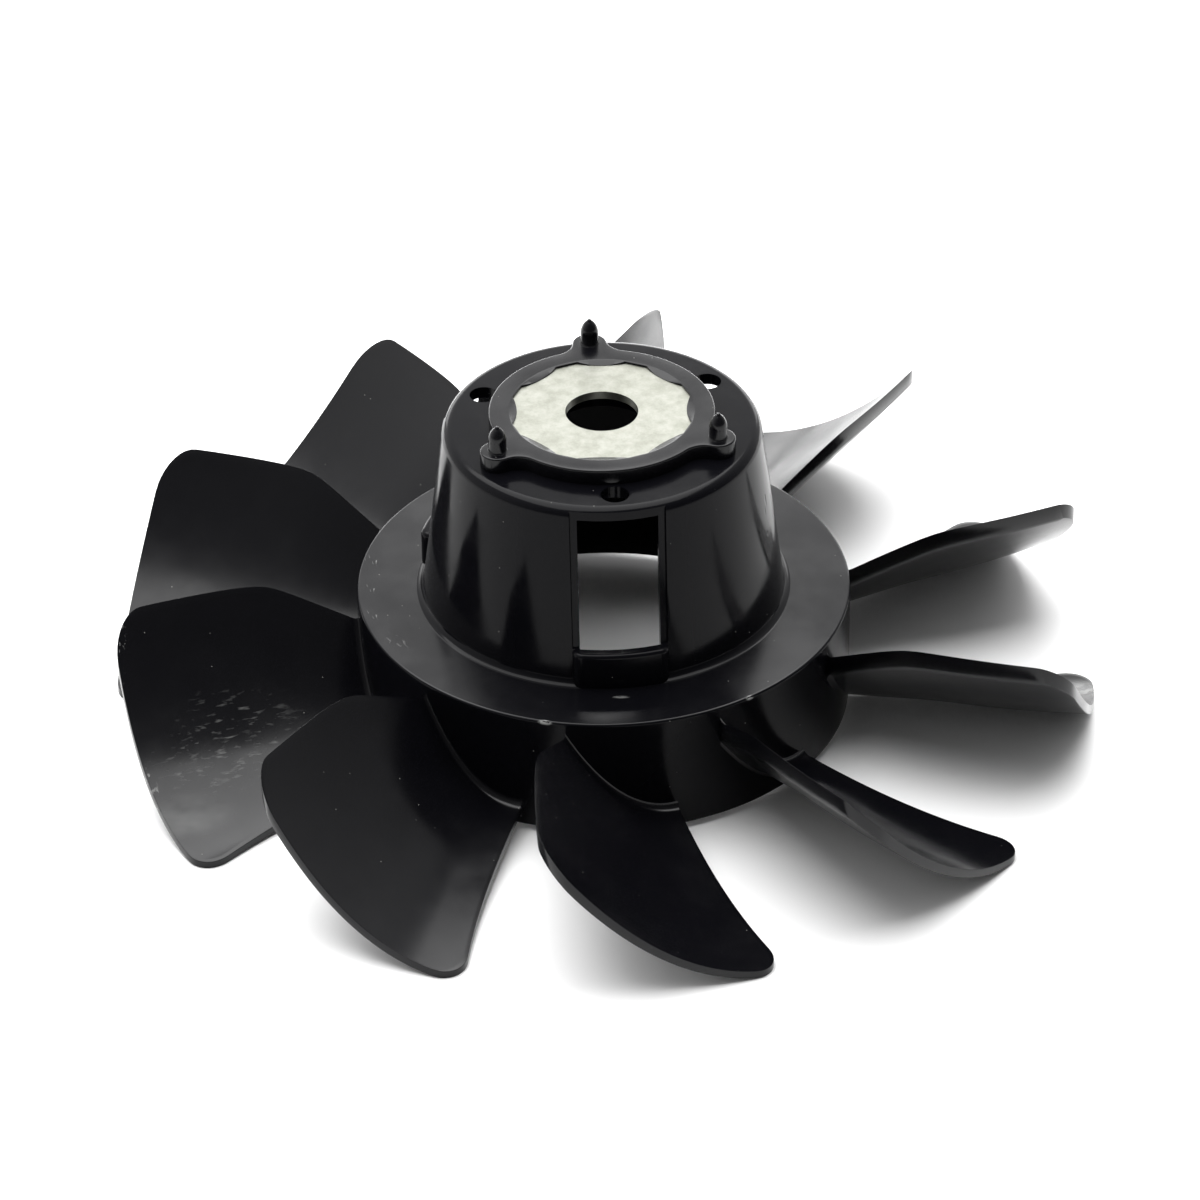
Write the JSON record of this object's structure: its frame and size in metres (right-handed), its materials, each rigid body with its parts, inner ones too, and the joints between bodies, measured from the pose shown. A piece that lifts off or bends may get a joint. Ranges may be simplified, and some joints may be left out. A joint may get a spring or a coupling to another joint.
{
  "type": "axial fan impeller",
  "caption": "Moulded plastic axial cooling fan impeller with a tall tapered hub, scoop blades, hub windows, locating pins and a steel disc insert with a plain bore.",
  "frame": {"origin": "on the shaft axis, in the plane that the blades' lower tip corners stand on", "axes": "+Z along the shaft axis towards the hub face; +Y towards the locating pin that is in line with a blade's datum"},
  "size_m": [0.1762, 0.1778, 0.0659],
  "materials": {
    "black_nylon": "satin black glass-filled nylon as moulded",
    "steel": "pressed mild steel, dull bright"
  },
  "bodies": {
    "root": {"impeller": "black_nylon", "steel_insert": "steel"}
  },
  "joints": []
}
